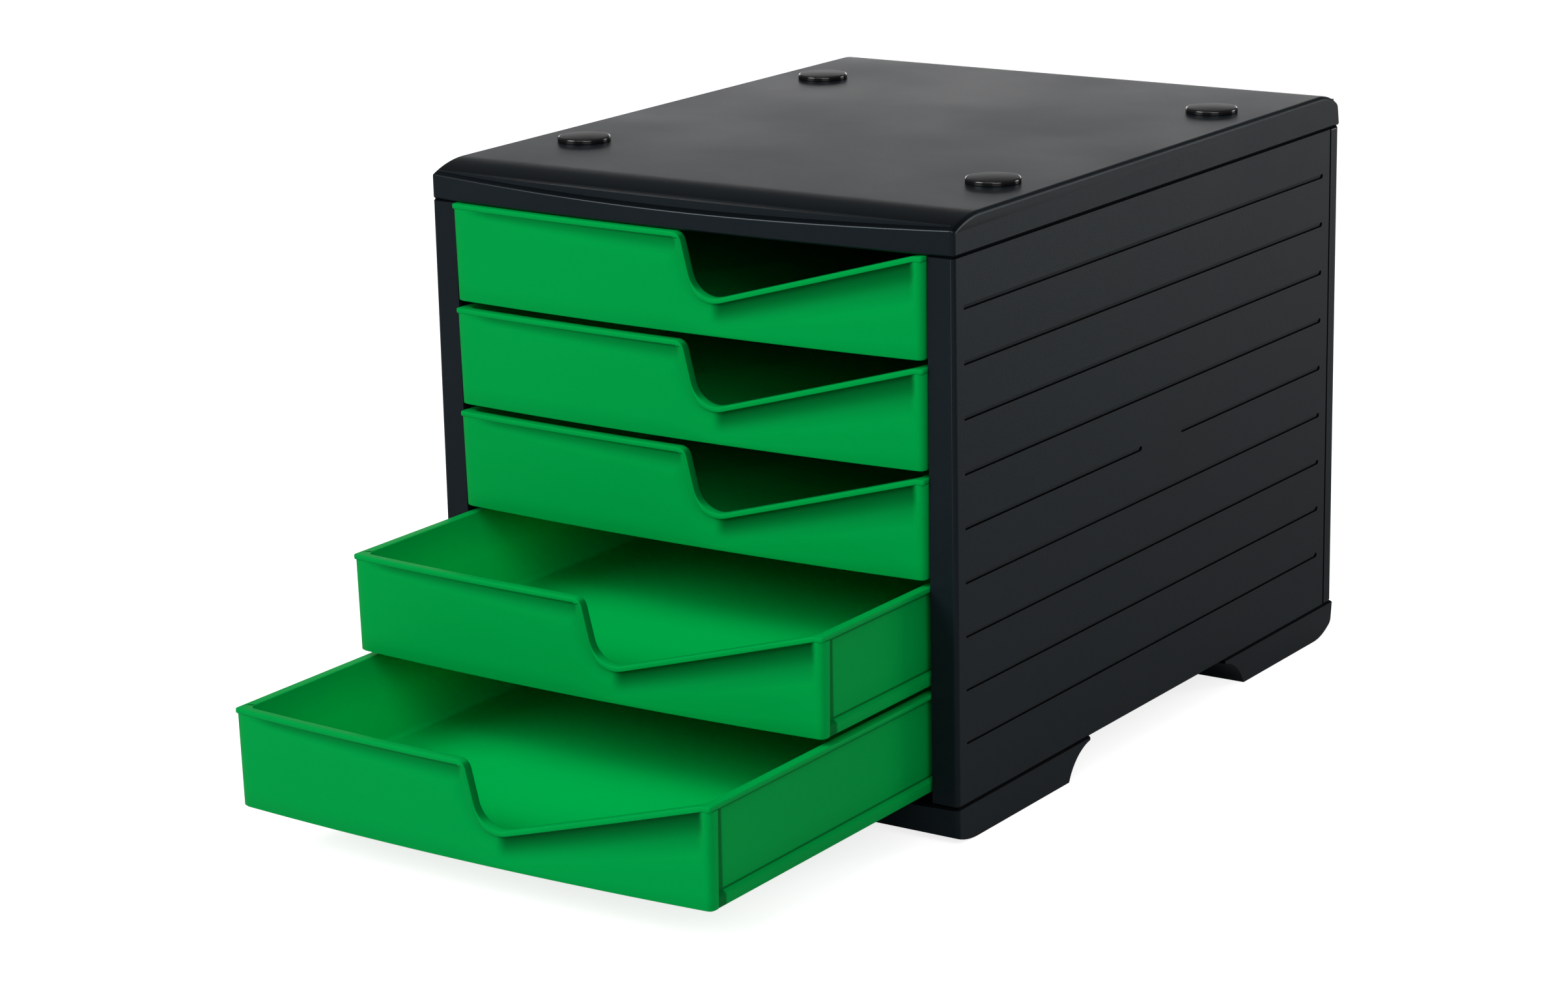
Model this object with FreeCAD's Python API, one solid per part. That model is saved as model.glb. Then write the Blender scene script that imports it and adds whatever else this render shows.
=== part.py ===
import FreeCAD, Part
import math
import os

# Desktop file box with five tray drawers. Millimetres, +Z up, +X to the right as seen from the front,
# the drawers pull out towards -Y. The pieces are built with X = 0 in the middle and Y = 0 at the front
# edge of the side panels, and save() moves them so that the origin is at the bottom centre of the whole.

# --- housing ---
width = 270.0
depth = 353.0
base_height = 16.3           # feet, up to the lower seam
cover_height = 16.0          # top cover, above the upper seam
wall = 2.5                   # moulded wall of the housing
panel_width = 12.75          # side panel as seen from the front
back_depth = 10.0            # how far the back panel wraps round the rear corners
front_bow = 6.0              # the middle of the front stands this far ahead of its ends
corner_radius = 2.2          # upright front corners of the housing
rear_corner_radius = 4.0
seam_chamfer = 0.8           # V-notch where the housing's pieces meet

# --- cover and base profiles, seen from the side ---
nose_radius = 58.0           # front fillet of the cover, tangent to its flat top
nose_start = 22.0            # where the flat top begins
toe_radius = 42.0            # the base curves up the same way at its toe
toe_start = 16.0
tail_start = 11.5            # rear corner of the flat, from the back
tail_slope = 30.0            # degrees from level, of the short slope behind it
tail_length = 11.5
tail_radius = 31.0
heel_radius = 4.0            # between that slope and the rear face
foot_length = 93.5           # flat underside of each foot ends here
arch_run = 19.0              # concave arch rises over this length
arch_lip = 2.0               # small upright lip where the arch meets the seam
arch_lip_step = 1.2
arch_sag = 0.13              # hollow of the arch, as a share of its chord
base_inset = 8.0             # floor plate stays this far inside the sides
foot_rib_count = 3           # ribs across each hollow foot, between its pockets
foot_rib = 2.0

# --- grooves in the side panels ---
groove_count = 9
groove_first = 23.0          # below the upper seam
groove_last = 26.8           # above the lower seam
groove_depth = 0.9
groove_height = 0.7
groove_bevel = 1.4           # shallow bevel that leads into the groove from above
groove_bevel_depth = 0.35
groove_front = 7.5
groove_rear_margin = 9.0     # from the end of the panel
groove_gap = 38.0            # bare length in the middle of the middle groove
top_edge_radius = 2.0        # side edges of the cover

# --- drawers ---
drawer_count = 5
drawer_height = 43.5
drawer_gap = 3.45            # from a drawer's rim to the drawer above it
drawer_floor_gap = 4.8       # from the last drawer to the feet
drawer_top_gap = 0.5         # first drawer's rim below the cover
drawer_side_gap = 0.5        # rim to side panel, each side
drawer_stand = 2.2           # drawer front ahead of the housing's front
rim_thickness = 2.2
rim_overhang = 2.6           # rim beyond the side wall
rim_round = 0.6              # bevel along the rim's upper edge
rim_corner = 1.5
front_wall = 4.0
tray_wall = 2.2
tray_floor = 2.0
front_draft = 0.75           # the front and its ends lean in by this much at the foot
front_corner = 5.0           # upright corners of the drawer front
front_return = 8.3           # how far the front wraps back along the sides
foot_rail_height = 6.0       # rail along the foot of each side wall
foot_rail_width = 1.6
floor_bevel = 2.0            # between the floor and the walls
cavity_corner = 4.0

# --- swept cut-out and finger cove of the drawer front ---
notch_start = 4.0            # right of the middle, where the steep side meets the rim
notch_lean = 14.0            # degrees from upright, of the steep side
notch_slope = 15.8           # degrees from level, of the long side
notch_end_inset = 4.5        # from the right end of the rim
notch_top_radius = 5.0
notch_low_radius = 12.5
cove_radius = 20.0
cove_depth = 2.7             # at the right end, fading to nothing at the left end
cove_fade_inset = 4.0        # from the left end of the rim
cove_end_inset = 6.5         # from the right end of the rim
cove_notch_margin = 2.0      # from the steep side of the cut-out

# --- runners and stops ---
running_gap = 0.3
runner_thickness = 2.0
runner_reach = 1.65          # runner under the rim, beyond the panel's front edge
runner_front = 9.0
keeper_gap = 0.5             # rim to the rib above it
keeper_thickness = 1.5
travel = 250.0
stop_height = 5.8
stop_length = 6.0
stop_tab_width = 2.05
stop_tab_inset = 2.0         # from the drawer's rear end
back_rib_depth = 4.0
back_rib_count = 3
open_4 = 77.6                # drawers 4 and 5 stand pulled out
open_5 = 158.3

# --- stacking caps, and the pockets under the feet that take them ---
cap_radius = 12.1
cap_height = 2.8
cap_edge = 0.8               # bevel round the edge
cap_side_inset = 27.3        # centre from the side of the housing
cap_front_inset = 76.9       # centre from the front
cap_rear_inset = 79.3        # centre from the back
stem_radius = 4.0
stem_gap = 0.1
stem_end = 1.2               # stem beyond the inside of the cover
pocket_gap = 0.6             # cap to the ribs under the foot of a box stacked on this one

V = FreeCAD.Vector
half_width = width / 2
drawer_pitch = drawer_height + drawer_gap
panel_height = drawer_top_gap + drawer_pitch * drawer_count - drawer_gap + drawer_floor_gap
groove_pitch = (panel_height - groove_first - groove_last) / (groove_count - 1)
lower_seam = base_height
upper_seam = base_height + panel_height
top = upper_seam + cover_height
bow_radius = (half_width ** 2 + front_bow ** 2) / (2 * front_bow)
housing_front = -front_bow
drawer_front = housing_front - drawer_stand
panel_inner = half_width - panel_width
panel_depth = depth - back_depth
rim_half = panel_inner - drawer_side_gap
rim_underside = drawer_height - rim_thickness
side_half = rim_half - rim_overhang
cavity_half = side_half - tray_wall
drawer_back = depth - wall - back_rib_depth - running_gap
front_y = (open_5 - drawer_front - depth) / 2
cap_side = half_width - cap_side_inset
cap_rear = depth - cap_rear_inset
cap_places = [(x, y) for x in (-cap_side, cap_side) for y in (cap_front_inset, cap_rear)]


# --- helpers ---
def box(x0, x1, y0, y1, z0, z1):
    return Part.makeBox(x1 - x0, y1 - y0, z1 - z0, V(x0, y0, z0))


def fuse(shapes):
    return shapes[0].multiFuse(shapes[1:]).removeSplitter()


def bow_y(x, middle):
    return middle + bow_radius - math.sqrt(bow_radius ** 2 - x ** 2)


def edges_where(shape, test):
    return [edge for edge in shape.Edges if test(edge.BoundBox)]


def rounded_path(points, radii):
    """Edges through the points, with an arc of the given radius at each inner point."""
    edges = []
    start = points[0]
    for before, corner, after, radius in zip(points, points[1:], points[2:], radii):
        back = (before - corner).normalize()
        ahead = (after - corner).normalize()
        half_angle = back.getAngle(ahead) / 2
        reach = radius / math.tan(half_angle)
        middle = (back + ahead).normalize()
        bulge = corner + middle * (radius / math.sin(half_angle) - radius)
        arc_start = corner + back * reach
        arc_end = corner + ahead * reach
        edges.append(Part.makeLine(start, arc_start))
        edges.append(Part.Arc(arc_start, bulge, arc_end).toShape())
        start = arc_end
    edges.append(Part.makeLine(start, points[-1]))
    return edges


def bowed_outline(half, middle, back, z, front_corner=0, back_corner=0, inset=0):
    """Level outline with a bowed front, rounded where asked. The inset moves front and sides inwards."""
    side_x = half - inset
    rear = [V(side_x, back, z), V(-side_x, back, z)]
    bow_centre = V(0, middle + bow_radius, z)
    if front_corner:
        inner_radius = bow_radius - front_corner
        corner_y = bow_centre.y - math.sqrt(inner_radius ** 2 - (half - front_corner) ** 2)
        radius = front_corner - inset
        corners = []
        bow_ends = []
        for side in (-1, 1):
            centre = V(side * (half - front_corner), corner_y, z)
            outward = (centre - bow_centre).normalize()
            sideways = V(side, 0, 0)
            bow_ends.append(centre + outward * radius)
            bulge = centre + (outward + sideways).normalize() * radius
            corners.append(Part.Arc(bow_ends[-1], bulge, centre + sideways * radius).toShape())
        rear = [V(side_x, corner_y, z)] + rear + [V(-side_x, corner_y, z)]
    else:
        front_y_at_side = bow_y(side_x, middle + inset)
        bow_ends = [V(-side_x, front_y_at_side, z), V(side_x, front_y_at_side, z)]
        corners = []
        rear = bow_ends[1:] + rear + bow_ends[:1]
    bow = Part.Arc(bow_ends[0], V(0, middle + inset, z), bow_ends[1]).toShape()
    rest = rounded_path(rear, [back_corner] * 2) if back_corner else Part.makePolygon(rear).Edges
    return Part.Wire(Part.__sortEdges__([bow] + corners + rest))


def bowed_prism(half, middle, back, z0, z1, front_corner=0, back_corner=0):
    """Upright block with a bowed front."""
    outline = bowed_outline(half, middle, back, z0, front_corner, back_corner)
    return Part.Face(outline).extrude(V(0, 0, z1 - z0))


def save(shape, node):
    shape = shape.copy()
    shape.translate(V(0, front_y, 0))
    shape.exportStep(f"parts/{node}.step")


# --- top cover and base, which share one kind of profile ---
def end_profile(height, start, radius, seam):
    """Side profile as a face: bowed nose, flat face at the given height, sloped tail, open seam."""
    reach = start - housing_front + 1
    drop = radius - math.sqrt(radius ** 2 - reach ** 2)
    half_reach = reach / 2
    half_drop = radius - math.sqrt(radius ** 2 - half_reach ** 2)
    nose_foot = V(0, start - reach, height - drop)
    nose_middle = V(0, start - half_reach, height - half_drop)
    nose_top = V(0, start, height)
    slope = math.radians(tail_slope)
    corner = V(0, depth - tail_start, height)
    heel = corner + V(0, tail_length * math.cos(slope), -tail_length * math.sin(slope))
    tail = rounded_path([nose_top, corner, heel, V(0, depth, seam)], [tail_radius, heel_radius])
    nose = Part.Arc(nose_foot, nose_middle, nose_top).toShape()
    rest = Part.makePolygon([V(0, depth, seam), V(0, nose_foot.y, seam), nose_foot])
    return Part.Face(Part.Wire([nose] + tail + rest.Edges))


def along_width(face, half):
    prism = face.extrude(V(2 * half, 0, 0))
    prism.translate(V(-half, 0, 0))
    return prism


def make_end(height, start, radius, side_round):
    """Outer form of the cover or base, seam at Z = 0 and flat face on top."""
    block = along_width(end_profile(height, start, radius, 0), half_width)
    nose_y = block.BoundBox.YMin

    def far_side_edge(bounds):
        at_side = bounds.XLength < 0.01 and abs(bounds.XMax) > half_width - 0.01
        return at_side and bounds.YMax > nose_y + 0.01 and bounds.ZMax > 0.01
    if side_round:
        block = block.makeFillet(side_round, edges_where(block, far_side_edge))
    block = block.common(bowed_prism(half_width, housing_front, depth, 0, height, corner_radius))
    return block.makeChamfer(seam_chamfer, edges_where(block, lambda bounds: bounds.ZMax < 0.01))


def end_hollow(height, start, radius):
    """Inside of the same form, one wall thickness in, open at the seam."""
    profile = end_profile(height, start, radius, -wall).makeOffset2D(-wall)
    half = half_width - wall
    band = bowed_prism(half, housing_front + wall, depth, -wall, height)
    return along_width(profile, half).common(band)


def make_cover():
    cover = make_end(cover_height, nose_start, nose_radius, top_edge_radius)
    cover = cover.cut(end_hollow(cover_height, nose_start, nose_radius))
    for x, y in cap_places:
        cover = cover.cut(Part.makeCylinder(stem_radius + stem_gap, cover_height, V(x, y, wall)))
    cover.translate(V(0, 0, upper_seam))
    return cover


def upside_down(shape, seam):
    flipped = shape.mirror(V(0, 0, 0), V(0, 0, 1))
    flipped.translate(V(0, 0, seam))
    return flipped


def arch_edges(shift):
    """Concave arch behind the front foot, moved into the foot by shift."""
    heel = V(0, foot_length, 0)
    crown = V(0, foot_length + arch_run, lower_seam - arch_lip)
    chord = crown - heel
    inward = V(0, -chord.z, chord.y).normalize()
    middle = heel + chord * 0.5 + inward * (arch_sag * chord.Length)
    return [point + inward * shift for point in (heel, middle, crown)]


def mirror_rear(shape):
    return shape.mirror(V(0, depth / 2, 0), V(0, 1, 0))


def arch_space():
    """Space under the base between its feet, open to both sides."""
    heel, middle, crown = arch_edges(0)
    lip = crown + V(0, arch_lip_step, 0)
    over = V(0, lip.y, lower_seam + 1)
    under = V(0, heel.y, -1)
    far = V(0, depth / 2, 0)
    outline = Part.makePolygon([crown, lip, over, V(0, far.y, over.z), V(0, far.y, -1), under, heel])
    wire = Part.Wire(Part.__sortEdges__([Part.Arc(heel, middle, crown).toShape()] + outline.Edges))
    front = along_width(Part.Face(wire), half_width + 1)
    return front.fuse(mirror_rear(front))


def foot_space():
    """Hollow inside the front foot, open below."""
    heel, middle, crown = arch_edges(wall)
    low_heel = V(0, foot_length - wall, -1)
    ahead = V(0, housing_front, 0)
    ceiling = V(0, crown.y, lower_seam)
    outline = Part.makePolygon([
        crown, ceiling, V(0, ahead.y, ceiling.z), V(0, ahead.y, -1), low_heel, heel,
    ])
    wire = Part.Wire(Part.__sortEdges__([Part.Arc(heel, middle, crown).toShape()] + outline.Edges))
    return along_width(Part.Face(wire), half_width)


def make_base():
    """Front foot, floor plate and rear foot."""
    block = upside_down(make_end(base_height, toe_start, toe_radius, 0), lower_seam)
    inner = upside_down(end_hollow(base_height, toe_start, toe_radius), lower_seam - wall)
    hollow_half = half_width - wall
    mouth = box(-hollow_half, hollow_half, toe_start, depth - toe_start, -1, wall)
    hollow = inner.fuse(mouth)
    front_space = foot_space()
    hollow = hollow.common(front_space.fuse(mirror_rear(front_space)))

    pocket_half = cap_radius + pocket_gap + foot_rib / 2
    inner_rib = cap_side - pocket_half
    spacing = 2 * inner_rib / (foot_rib_count + 1)
    rib_places = [-cap_side - pocket_half, cap_side + pocket_half]
    rib_places += [-inner_rib + spacing * index for index in range(foot_rib_count + 2)]
    ribs = []
    for x in rib_places:
        ribs.append(box(x - foot_rib / 2, x + foot_rib / 2, housing_front, depth, 0, lower_seam))
    for y in (cap_front_inset - pocket_half, cap_rear + pocket_half):
        ribs.append(box(-half_width, half_width, y - foot_rib / 2, y + foot_rib / 2, 0, lower_seam))
    base = block.cut(arch_space()).cut(hollow.cut(Part.makeCompound(ribs)))
    plate_half = half_width - base_inset
    plate_end = foot_length + arch_run
    front = base.common(box(-width, width, -depth, plate_end, -1, lower_seam + 1))
    rear = base.common(box(-width, width, depth - plate_end, 2 * depth, -1, lower_seam + 1))
    plate = box(-plate_half, plate_half, plate_end, depth - plate_end, lower_seam - wall, lower_seam)
    return front.removeSplitter(), plate, rear.removeSplitter()


# --- side and back panels ---
def groove_cutter(y0, y1, z):
    """V-shaped groove with a shallow bevel above it, cut into the face at X = half_width."""
    face = half_width
    points = [
        V(face + 1, y0, z + groove_height + groove_bevel),
        V(face, y0, z + groove_height + groove_bevel),
        V(face - groove_bevel_depth, y0, z + groove_height),
        V(face - groove_depth, y0, z + groove_height),
        V(face - groove_depth, y0, z),
        V(face + 1, y0, z),
    ]
    return Part.Face(Part.makePolygon(points + points[:1])).extrude(V(0, y1 - y0, 0))


def make_side_panel():
    """Right-hand panel. The left one is its mirror image."""
    outer = box(panel_inner, half_width, 0, panel_depth, lower_seam, upper_seam)
    outer = outer.makeFillet(corner_radius, edges_where(
        outer, lambda bounds: bounds.XMin > half_width - 0.01 and bounds.YMax < 0.01))
    outer = outer.makeChamfer(seam_chamfer, edges_where(
        outer, lambda bounds: bounds.ZLength < 0.01 and bounds.YMin < panel_depth - 0.01
        and not (bounds.XMax < panel_inner + 0.01)))
    hollow = box(panel_inner - 1, half_width - wall, wall, panel_depth + 1, lower_seam + wall, upper_seam - wall)
    panel = outer.cut(hollow)

    rib_end = panel_inner - runner_reach
    skin = half_width - wall
    parts = [panel]
    for index in range(drawer_count):
        rim_top = upper_seam - drawer_top_gap - index * drawer_pitch
        runner_top = rim_top - rim_thickness - running_gap
        parts.append(box(rib_end, skin, runner_front, panel_depth, runner_top - runner_thickness, runner_top))
        stop_top = runner_top - runner_thickness
        stop_back = drawer_back - stop_tab_inset - stop_length - travel - running_gap
        parts.append(box(rib_end, skin, stop_back - stop_length, stop_back, stop_top - stop_height, stop_top))
        if index > 0:
            keeper = rim_top + keeper_gap
            parts.append(box(rib_end, skin, runner_front, panel_depth, keeper, keeper + keeper_thickness))
    panel = fuse(parts)

    grooves = []
    groove_rear = panel_depth - groove_rear_margin
    gap_front = (depth - groove_gap) / 2
    for index in range(groove_count):
        z = upper_seam - groove_first - index * groove_pitch
        if index == groove_count // 2:
            grooves.append(groove_cutter(groove_front, gap_front, z))
            grooves.append(groove_cutter(gap_front + groove_gap, groove_rear, z))
        else:
            grooves.append(groove_cutter(groove_front, groove_rear, z))
    return panel.cut(Part.makeCompound(grooves))


def make_back_panel():
    outer = box(-half_width, half_width, panel_depth, depth, lower_seam, upper_seam)
    outer = outer.makeFillet(rear_corner_radius, edges_where(
        outer, lambda bounds: bounds.ZLength > wall and bounds.YMin > depth - 0.01))
    outer = outer.makeChamfer(seam_chamfer, edges_where(
        outer, lambda bounds: bounds.ZLength < 0.01 and bounds.YMax > panel_depth + 0.01))
    half = half_width - wall
    inner_face = depth - wall
    shelf_front = inner_face - back_rib_depth
    hollow = box(-half, half, panel_depth - 1, inner_face, lower_seam + wall, upper_seam - wall)
    reach = box(-half, half, panel_depth - 1, shelf_front, lower_seam - 1, upper_seam + 1)
    parts = [outer.cut(hollow).cut(reach)]
    spacing = width / (back_rib_count + 1)
    for index in range(back_rib_count):
        x = -half_width + spacing * (index + 1)
        parts.append(box(x - foot_rib / 2, x + foot_rib / 2, shelf_front, inner_face,
                         lower_seam + wall, upper_seam - wall))
    return fuse(parts)


# --- drawers, each built with the underside of its tray at Z = 0 ---
def notch_end():
    """Where the long side of the cut-out meets the rim, and the depth of the unrounded low corner."""
    end_x = rim_half - notch_end_inset
    lean = math.tan(math.radians(notch_lean))
    slope = math.tan(math.radians(notch_slope))
    return end_x, (end_x - notch_start) / (lean + 1 / slope)


def notch_cutter():
    """Everything above the swept edge of the drawer front."""
    end_x, low = notch_end()
    level = drawer_height
    low_x = notch_start + low * math.tan(math.radians(notch_lean))
    path = [
        V(notch_start - 2 * notch_top_radius, 0, level),
        V(notch_start, 0, level),
        V(low_x, 0, level - low),
        V(end_x, 0, level),
    ]
    edges = rounded_path(path, [notch_top_radius, notch_low_radius])
    above = V(0, 0, 1)
    lid = Part.makePolygon([path[3], path[3] + above, path[0] + above, path[0]])
    cutter = Part.Face(Part.Wire(edges + lid.Edges)).extrude(V(0, cavity_corner + front_return - drawer_front, 0))
    cutter.translate(V(0, drawer_front - 1, 0))
    return cutter


def cove_cutter(start, end):
    """Round-bottomed recess under the rim between two points of its edge, given in XZ."""
    fade_x = -rim_half + cove_fade_inset
    full_x = rim_half - cove_end_inset

    def centre(point):
        sunk = cove_depth * (point.x - fade_x) / (full_x - fade_x)
        return V(point.x, bow_y(point.x, drawer_front) - cove_radius + sunk, point.z)
    middle = (start + end) * 0.5
    arc = Part.Arc(centre(start), centre(middle), centre(end))
    along = arc.tangent(arc.FirstParameter)[0]
    circle = Part.Circle(centre(start), along, cove_radius)
    tube = Part.Wire([arc.toShape()]).makePipe(Part.Face(Part.Wire([circle.toShape()])))
    down = V(0, 0, -cove_radius)
    below = Part.Face(Part.makePolygon([start, end, end + down, start + down, start]))
    below = below.extrude(V(0, 2 * cove_radius, 0))
    below.translate(V(0, drawer_front - cove_radius, 0))
    return tube.common(below)


def drawer_front_cuts():
    end_x, low = notch_end()
    left = V(-rim_half + cove_fade_inset, 0, rim_underside)
    left_end = V(notch_start - cove_notch_margin, 0, rim_underside)
    slope = math.tan(math.radians(notch_slope))
    drop = rim_thickness / math.cos(math.radians(notch_slope))

    def under_slope(x):
        return V(x, 0, drawer_height - (end_x - x) * slope - drop)
    right_start = under_slope(notch_start + notch_low_radius + cove_notch_margin)
    right_end = under_slope(rim_half - cove_end_inset)
    return [notch_cutter(), cove_cutter(left, left_end), cove_cutter(right_start, right_end)]


def drawer_front_block():
    """Bowed front with rounded upright corners. It leans in all round towards its foot."""
    back = bow_y(rim_half, drawer_front) + front_return
    foot = bowed_outline(rim_half, drawer_front, back, 0, front_corner, 0, front_draft)
    head = bowed_outline(rim_half, drawer_front, back, drawer_height - rim_round, front_corner)
    return Part.makeLoft([foot, head], True, True)


def make_drawer():
    tray_start = bow_y(rim_half, drawer_front) + front_wall
    tray_back = drawer_back - rim_overhang
    tray = box(-side_half, side_half, tray_start, tray_back, 0, drawer_height - rim_round)
    rim = bowed_prism(rim_half, drawer_front, drawer_back, rim_underside, drawer_height, rim_corner, rim_corner)
    rim = rim.makeChamfer(rim_round, edges_where(rim, lambda bounds: bounds.ZMin > drawer_height - 0.01))
    parts = [drawer_front_block(), tray, rim]

    rail_back = tray_back - foot_rail_height
    rail_half = side_half + foot_rail_width
    tab_top = rim_underside - running_gap - runner_thickness - running_gap
    tab_back = drawer_back - stop_tab_inset
    for side in (-1, 1):
        rail = Part.Face(Part.makePolygon([
            V(side * cavity_half, tray_start, 0),
            V(side * rail_half, tray_start, 0),
            V(side * rail_half, tray_start, foot_rail_height - foot_rail_width),
            V(side * side_half, tray_start, foot_rail_height),
            V(side * cavity_half, tray_start, foot_rail_height),
            V(side * cavity_half, tray_start, 0),
        ]))
        parts.append(rail.extrude(V(0, rail_back - tray_start, 0)))
        tab_x = sorted((side * cavity_half, side * (side_half + stop_tab_width)))
        parts.append(box(tab_x[0], tab_x[1], tab_back - stop_length, tab_back, tab_top - stop_height, tab_top))

    drawer = fuse(parts)
    cavity = bowed_prism(cavity_half, drawer_front + front_wall, tray_back - tray_wall,
                         tray_floor, drawer_height + 1, cavity_corner, cavity_corner)
    cavity = cavity.makeChamfer(floor_bevel, edges_where(
        cavity, lambda bounds: bounds.ZMax < tray_floor + 0.01))
    drawer = drawer.cut(cavity)
    for cutter in drawer_front_cuts():
        drawer = drawer.cut(cutter)
    return drawer.removeSplitter()


# --- stacking caps ---
def make_cap():
    """Turned profile: bevelled disc on a stem that goes through the cover."""
    points = [
        V(0, 0, -wall - stem_end),
        V(stem_radius, 0, -wall - stem_end),
        V(stem_radius, 0, 0),
        V(cap_radius, 0, 0),
        V(cap_radius, 0, cap_height - cap_edge),
        V(cap_radius - cap_edge, 0, cap_height),
        V(0, 0, cap_height),
    ]
    profile = Part.makePolygon(points + points[:1])
    return Part.Face(profile).revolve(V(0, 0, 0), V(0, 0, 1), 360)


# --- the whole ---
os.makedirs("parts", exist_ok=True)
save(make_cover(), "top_cover")
for shape, node in zip(make_base(), ("front_foot", "floor_plate", "rear_foot")):
    save(shape, node)
right_panel = make_side_panel()
save(right_panel, "right_side_panel")
save(right_panel.mirror(V(0, 0, 0), V(1, 0, 0)), "left_side_panel")
save(make_back_panel(), "back_panel")

drawer_shape = make_drawer()
pulled_out = {4: open_4, 5: open_5}
for number in range(1, drawer_count + 1):
    floor_z = upper_seam - drawer_top_gap - drawer_height - (number - 1) * drawer_pitch
    placed = drawer_shape.copy()
    placed.translate(V(0, -pulled_out.get(number, 0), floor_z))
    save(placed, f"drawer_{number}")

caps = []
for x, y in cap_places:
    placed = make_cap()
    placed.translate(V(x, y, top))
    caps.append(placed)
save(Part.makeCompound(caps), "stacking_caps")
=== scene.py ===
import bpy
import bmesh
import math
from mathutils import Matrix, Vector


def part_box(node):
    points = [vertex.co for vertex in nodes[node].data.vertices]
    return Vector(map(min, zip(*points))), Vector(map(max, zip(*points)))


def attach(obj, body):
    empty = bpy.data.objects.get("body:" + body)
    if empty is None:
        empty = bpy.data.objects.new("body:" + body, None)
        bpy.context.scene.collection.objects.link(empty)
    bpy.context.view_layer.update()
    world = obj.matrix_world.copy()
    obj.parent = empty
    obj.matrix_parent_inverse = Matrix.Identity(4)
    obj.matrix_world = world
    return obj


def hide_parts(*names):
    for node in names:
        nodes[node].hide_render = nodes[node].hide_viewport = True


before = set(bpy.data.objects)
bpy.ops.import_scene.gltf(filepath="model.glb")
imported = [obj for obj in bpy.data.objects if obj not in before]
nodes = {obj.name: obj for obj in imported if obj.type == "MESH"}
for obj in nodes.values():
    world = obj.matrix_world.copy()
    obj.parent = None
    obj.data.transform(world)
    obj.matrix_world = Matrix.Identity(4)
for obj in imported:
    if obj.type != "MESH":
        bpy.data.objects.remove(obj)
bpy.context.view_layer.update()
mm = 0.001


# low and high corner of a node's box, in mm
def boxInMm(node):
    return [[round(value / mm, 2) for value in corner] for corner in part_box(node)]


# length from one place to another along an axis, in mm
def between(low, high):
    return round(high - low, 2)


# sizes that the pieces share, in mm
panelLow, panelHigh = boxInMm("right_side_panel")
coverLow, coverHigh = boxInMm("top_cover")
trayLow, trayHigh = boxInMm("drawer_1")  # a shut drawer
boxHalf, boxFront, boxBack = panelHigh[0], panelLow[1], boxInMm("back_panel")[1][1]
frontBow = 1521.75  # radius of the bow of the fronts, seen from above
mergeReach = 1e-6  # metres; points closer than this become one


# camera, stage and light

cameraSetup = {
    "place": (0.95087, -1.42204, 0.57872),  # metres
    "yaw": 34.144, "pitch": 15.194, "roll": -1.1773,  # degrees
    "lens": 90.107, "sensor": 36,  # millimetres
    "near": 0.05, "far": 50,  # metres
}


def makeCamera(setup):
    data = bpy.data.cameras.new("camera")
    data.lens = setup["lens"]
    data.sensor_width = setup["sensor"]
    data.clip_start = setup["near"]
    data.clip_end = setup["far"]
    camera = bpy.data.objects.new("camera", data)
    bpy.context.scene.collection.objects.link(camera)
    turn = Matrix.Rotation(math.radians(setup["yaw"]), 4, "Z")
    tilt = Matrix.Rotation(math.radians(90 - setup["pitch"]), 4, "X")
    roll = Matrix.Rotation(math.radians(setup["roll"]), 4, "Z")
    camera.matrix_world = Matrix.Translation(setup["place"]) @ turn @ tilt @ roll
    bpy.context.scene.camera = camera


lampSetup = {  # metres and watts; each panel faces its aim
    "keySoftbox": {
        "place": (-1.25, -2.2, 1.7), "size": (1.5, 1.4), "power": 55.5, "aim": (0, -0.1, 0.12),
    },
    "rightSoftbox": {
        "place": (1.9, -1.8, 1.4), "size": (1.6, 1.6), "power": 24, "aim": (0, -0.1, 0.12),
    },
    "topPanel": {
        "place": (0.45, -1.6, 2.0), "size": (1.4, 1.2), "power": 11, "aim": (0, -0.2, 0.1),
    },
    "rearPanel": {
        "place": (-0.5, 1.0, 0.4), "size": (1.1, 0.16), "power": 1.2, "aim": (0, 0.18, 0.27),
    },
    "sidePanel": {
        "place": (1.5, 1.9, 0.5), "size": (0.8, 1.0), "power": 12.5, "aim": (0.135, 0.08, 0.14),
    },
}


def makeLamps(setup):
    for name, lamp in setup.items():
        data = bpy.data.lights.new(name, "AREA")
        data.shape = "RECTANGLE"
        data.size, data.size_y = lamp["size"]
        data.energy = lamp["power"]
        light = bpy.data.objects.new(name, data)
        bpy.context.scene.collection.objects.link(light)
        place = Vector(lamp["place"])
        light.location = place
        light.rotation_euler = (Vector(lamp["aim"]) - place).to_track_quat("-Z", "Y").to_euler()


# adds a math node whose inputs are linked to sockets or set to numbers; None leaves one as it is
def mathNode(tree, operation, *values):
    node = tree.nodes.new("ShaderNodeMath")
    node.operation = operation
    for socket, value in zip(node.inputs, values):
        if isinstance(value, bpy.types.NodeSocket):
            tree.links.new(value, socket)
        elif value is not None:
            socket.default_value = value
    return node.outputs[0]


airSetup = {"ambient": 0.22, "inGloss": 0.1, "backdrop": 1, "backdropInGloss": 0.05}


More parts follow.
